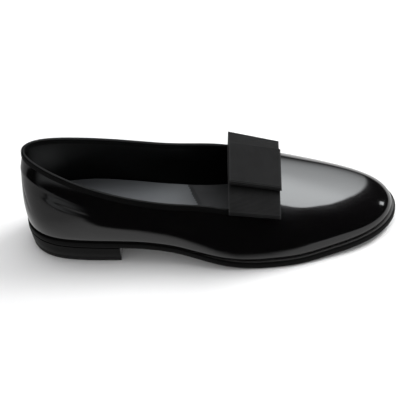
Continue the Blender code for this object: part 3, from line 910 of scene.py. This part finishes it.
# Size and place of the floor, and the glowing grid on it, seen only in gloss, whose painted light
# and shade show the shoe where light falls
FLOOR_MIDDLE = (0.0, 0.6)
FLOOR_SIZE = (6.0, 4.0)
GRID_X = (-0.46, 0.42)
GRID_Y = (-0.70, 0.70)
GRID_CELL = 0.01
GRID_HEIGHT = 0.0001
# How bright that grid is by x: from edge on, over soft, it rises to tone
GLOW_COLUMNS = ("x", "edge", "soft", "tone")
GLOW_ROWS = (
    (-0.46, -0.50, 0.30, 0.00), (-0.40, -0.50, 0.30, 0.34), (-0.30, -0.50, 0.30, 0.40),
    (-0.20, -0.42, 0.20, 0.40), (-0.15, -0.24, 0.08, 0.55), (-0.11, -0.145, 0.04, 0.66),
    (-0.06, -0.095, 0.03, 0.66), (-0.02, -0.080, 0.03, 0.66), (0.02, -0.063, 0.03, 0.68),
    (0.05, -0.068, 0.03, 0.70), (0.09, -0.098, 0.03, 0.75), (0.13, -0.142, 0.03, 0.80),
    (0.17, -0.195, 0.04, 0.80), (0.21, -0.250, 0.05, 0.80), (0.30, -0.330, 0.10, 0.60),
    (0.42, -0.400, 0.10, 0.00),
)
# Where it dies away again beyond the shoe, in y
FAR_GLOW = (0.15, 0.70)


def floor_glow(x, y):
    """Painted brightness, light and shade, of the glowing sheet over the floor at points on it."""
    at = column(GLOW_COLUMNS, GLOW_ROWS, "x")
    edge, soft, tone = (np.interp(x, at, column(GLOW_COLUMNS, GLOW_ROWS, name))
                        for name in GLOW_COLUMNS[1:])
    fall = 1 - ease((y - FAR_GLOW[0]) / (FAR_GLOW[1] - FAR_GLOW[0]))
    return tone * ease((y - edge) / soft + 0.5) * fall


def build_floor():
    """Plain pale floor, which gloss doesn't show.  Near the shoe, where the light falls, gloss
    shows a glowing sheet instead, its brightness painted light and shade.
    """
    x, y = FLOOR_SIZE[0] / 2, FLOOR_SIZE[1] / 2
    corners = [(-x, -y), (x, -y), (x, y), (-x, y)]
    points = [(FLOOR_MIDDLE[0] + a, FLOOR_MIDDLE[1] + b, 0.0) for a, b in corners]
    floor = stage_mesh("studio_floor", points, [(0, 1, 2, 3)])
    floor.data.materials.append(principled("studio_floor", (0.86, 0.86, 0.865), 0.8)[0])
    floor.visible_glossy = False

    columns, rows = (round((high - low) / GRID_CELL) + 1 for low, high in (GRID_X, GRID_Y))
    points = np.array([(x, y, GRID_HEIGHT) for y in np.linspace(*GRID_Y, rows)
                       for x in np.linspace(*GRID_X, columns)])
    faces = [(k, k + 1, k + columns + 1, k + columns)
             for j in range(rows - 1) for k in range(j * columns, (j + 1) * columns - 1)]
    lit = stage_mesh("lit_floor", points.tolist(), faces)
    glow = lit.data.attributes.new("glow", "FLOAT", "POINT")
    glow.data.foreach_set("value", floor_glow(points[:, 0], points[:, 1]))
    # The sheet glows by its painted brightness, standing for the lit and shaded floor in
    # reflections
    material = bpy.data.materials.new("lit_floor")
    material.use_nodes = True
    tree = material.node_tree
    tree.nodes.remove(tree.nodes["Principled BSDF"])
    light = node(tree, "ShaderNodeEmission", Color=(1, 1, 1, 1))
    value = node(tree, "ShaderNodeAttribute", attribute_name="glow")
    tree.links.new(value.outputs["Fac"], light.inputs["Strength"])
    tree.links.new(light.outputs[0], tree.nodes["Material Output"].inputs["Surface"])
    lit.data.materials.append(material)
    lit.visible_camera = False
    lit.visible_diffuse = False
    lit.visible_shadow = False


def stage_mesh(name, points, faces):
    """Mesh that belongs to the studio and not to the shoe."""
    mesh = bpy.data.meshes.new(name)
    mesh.from_pydata(points, [], faces)
    made = bpy.data.objects.new(name, mesh)
    bpy.context.scene.collection.objects.link(made)
    return made


# Lamps.  The mirrored ones only show in gloss, and the others only light what is matt
MIRRORED_TINT = (0.955, 0.985, 1.0)
LAMP_COLUMNS = ("name", "place", "ahead", "size", "power", "fades", "mirrored", "turn")
LAMP_ROWS = (
    ("main", (0.53, -0.063, 1.563), (0, -1, -1), (1.12, 4.5), 126,
     (0.06, 0.10, 0.50, 0.05), True, 0.19),
    ("strip", (1.2, 0.43, 0.40), (-1.06, -0.43, -0.37), (0.22, 0.3), 1.2,
     (0.3, 0.3, 0.3, 0.3), True, 0.0),
    ("low", (-0.92, -1.31, 0.08), (0.57, 0.82, 0), (1.3, 0.40), 0.65,
     (0.4, 0.4, 0.05, 0.6), True, 0.0),
    ("key", (0.85, 0.55, 0.95), (-0.85, -0.55, -0.92), (0.8, 0.8), 26,
     (0.2, 0.2, 0.2, 0.2), False, 0.0),
    ("fill", (-0.1, 0.35, 1.40), (0.1, -0.35, -1.4), (1.4, 1.2), 14,
     (0.2, 0.2, 0.2, 0.2), False, 0.0),
)


def soft_box(name, place, ahead, size, power, fades, mirrored, turn):
    """Area light whose face fades out towards its rim: fades are for its -u, +u, -v and +v side."""
    light = bpy.data.lights.new(name, "AREA")
    light.shape = "RECTANGLE"
    light.size, light.size_y = size
    light.energy = power
    light.color = MIRRORED_TINT if mirrored else (1, 1, 1)
    light.use_nodes = True
    tree = light.node_tree
    emission = tree.nodes["Emission"]
    geometry = tree.nodes.new("ShaderNodeNewGeometry")
    split = tree.nodes.new("ShaderNodeSeparateXYZ")
    tree.links.new(geometry.outputs["Parametric"], split.inputs["Vector"])
    made = None
    for axis, (near, far) in (("X", fades[:2]), ("Y", fades[2:])):
        for low, high in ((0.0, near), (1.0, 1.0 - far)):
            ramp = tree.nodes.new("ShaderNodeMapRange")
            ramp.interpolation_type = "SMOOTHSTEP"
            ramp.inputs["From Min"].default_value = low
            ramp.inputs["From Max"].default_value = high
            tree.links.new(split.outputs[axis], ramp.inputs["Value"])
            if made is None:
                made = ramp.outputs["Result"]
            else:
                both = node(tree, "ShaderNodeMath", operation="MULTIPLY")
                tree.links.new(made, both.inputs[0])
                tree.links.new(ramp.outputs["Result"], both.inputs[1])
                made = both.outputs[0]
    tree.links.new(made, emission.inputs["Strength"])
    lamp = bpy.data.objects.new(name, light)
    bpy.context.scene.collection.objects.link(lamp)
    lamp.location = place
    lamp.rotation_mode = "QUATERNION"
    facing = Vector(ahead).to_track_quat("-Z", "Y")
    lamp.rotation_quaternion = facing @ Quaternion((0, 0, 1), turn)
    lamp.visible_camera = False
    lamp.visible_diffuse = not mirrored
    lamp.visible_glossy = mirrored


# Camera: where the photograph's stood, what it is turned to, its roll, lens and sensor
CAMERA_PLACE = (0.06916, -1.00402, 0.89708)
CAMERA_AIM = (-0.00138, -0.00049, 0.02954)
CAMERA_ROLL = math.radians(-5.02)
CAMERA_LENS = 144.1
CAMERA_SENSOR = 36


def build_camera():
    """Camera where the photograph's stood, turned to the one shoe."""
    data = bpy.data.cameras.new("camera")
    data.sensor_width = CAMERA_SENSOR
    data.lens = CAMERA_LENS
    camera = bpy.data.objects.new("camera", data)
    bpy.context.scene.collection.objects.link(camera)
    place = Vector(CAMERA_PLACE)
    ahead = (Vector(CAMERA_AIM) - place).normalized()
    right = ahead.cross(Vector((0, 0, 1))).normalized()
    up = right.cross(ahead)
    cos, sin = math.cos(CAMERA_ROLL), math.sin(CAMERA_ROLL)
    turned = right * cos + up * sin
    top = up * cos - right * sin
    camera.matrix_world = Matrix((
        (turned.x, top.x, -ahead.x, place.x),
        (turned.y, top.y, -ahead.y, place.y),
        (turned.z, top.z, -ahead.z, place.z),
        (0, 0, 0, 1)))
    bpy.context.scene.camera = camera


def build_world():
    """Even pale surroundings, which gloss doesn't show."""
    world = bpy.data.worlds.new("studio")
    world.use_nodes = True
    background = world.node_tree.nodes["Background"]
    background.inputs["Color"].default_value = (1, 1, 1, 1)
    background.inputs["Strength"].default_value = 0.5
    world.cycles_visibility.glossy = False
    bpy.context.scene.world = world
    bpy.context.scene.view_settings.view_transform = "Standard"


build_floor()
for row in LAMP_ROWS:
    soft_box(**dict(zip(LAMP_COLUMNS, row)))
build_world()
build_camera()
